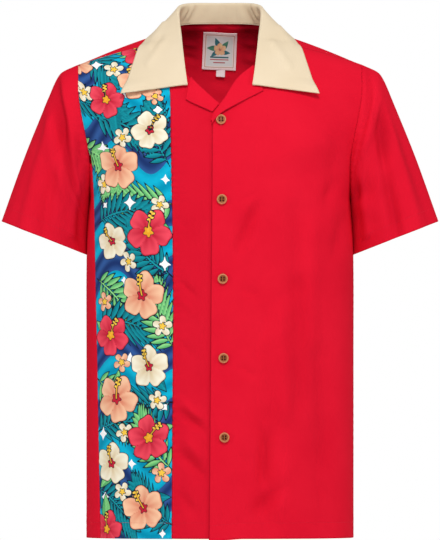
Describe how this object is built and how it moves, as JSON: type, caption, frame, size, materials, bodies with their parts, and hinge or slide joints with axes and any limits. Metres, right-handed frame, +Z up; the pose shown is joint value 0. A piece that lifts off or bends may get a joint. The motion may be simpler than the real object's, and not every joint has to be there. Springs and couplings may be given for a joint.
{
  "type": "camp collar shirt",
  "caption": "Short-sleeved camp-collar shirt with a contrast collar and one long printed panel on the right front, filled out as worn and open at neck, hem and cuffs.",
  "frame": {"origin": "midway between the two shoulder seams, where the wearer's shoulders hold the shirt", "axes": "+X to the wearer's left, +Y out of the back, so the front faces -Y, +Z up"},
  "size_m": [0.651, 0.2824, 0.8021],
  "materials": {
    "red_cotton": "matte plain weave",
    "print_cotton": "matte printed weave",
    "cream_cotton": "matte plain weave",
    "coconut_shell": "satin",
    "label_weave": "satin weave"
  },
  "bodies": {
    "root": {"back": "red_cotton", "front_left": "red_cotton", "front_right_center": "red_cotton", "front_right_print": "print_cotton", "front_right_side": "red_cotton", "sleeve_left": "red_cotton", "sleeve_right": "red_cotton", "collar": "cream_cotton", "lapel_left": "red_cotton", "lapel_right": "red_cotton", "button_1": "coconut_shell", "button_2": "coconut_shell", "button_3": "coconut_shell", "button_4": "coconut_shell", "button_5": "coconut_shell", "neck_label": "label_weave", "size_tag": "label_weave"}
  },
  "joints": []
}
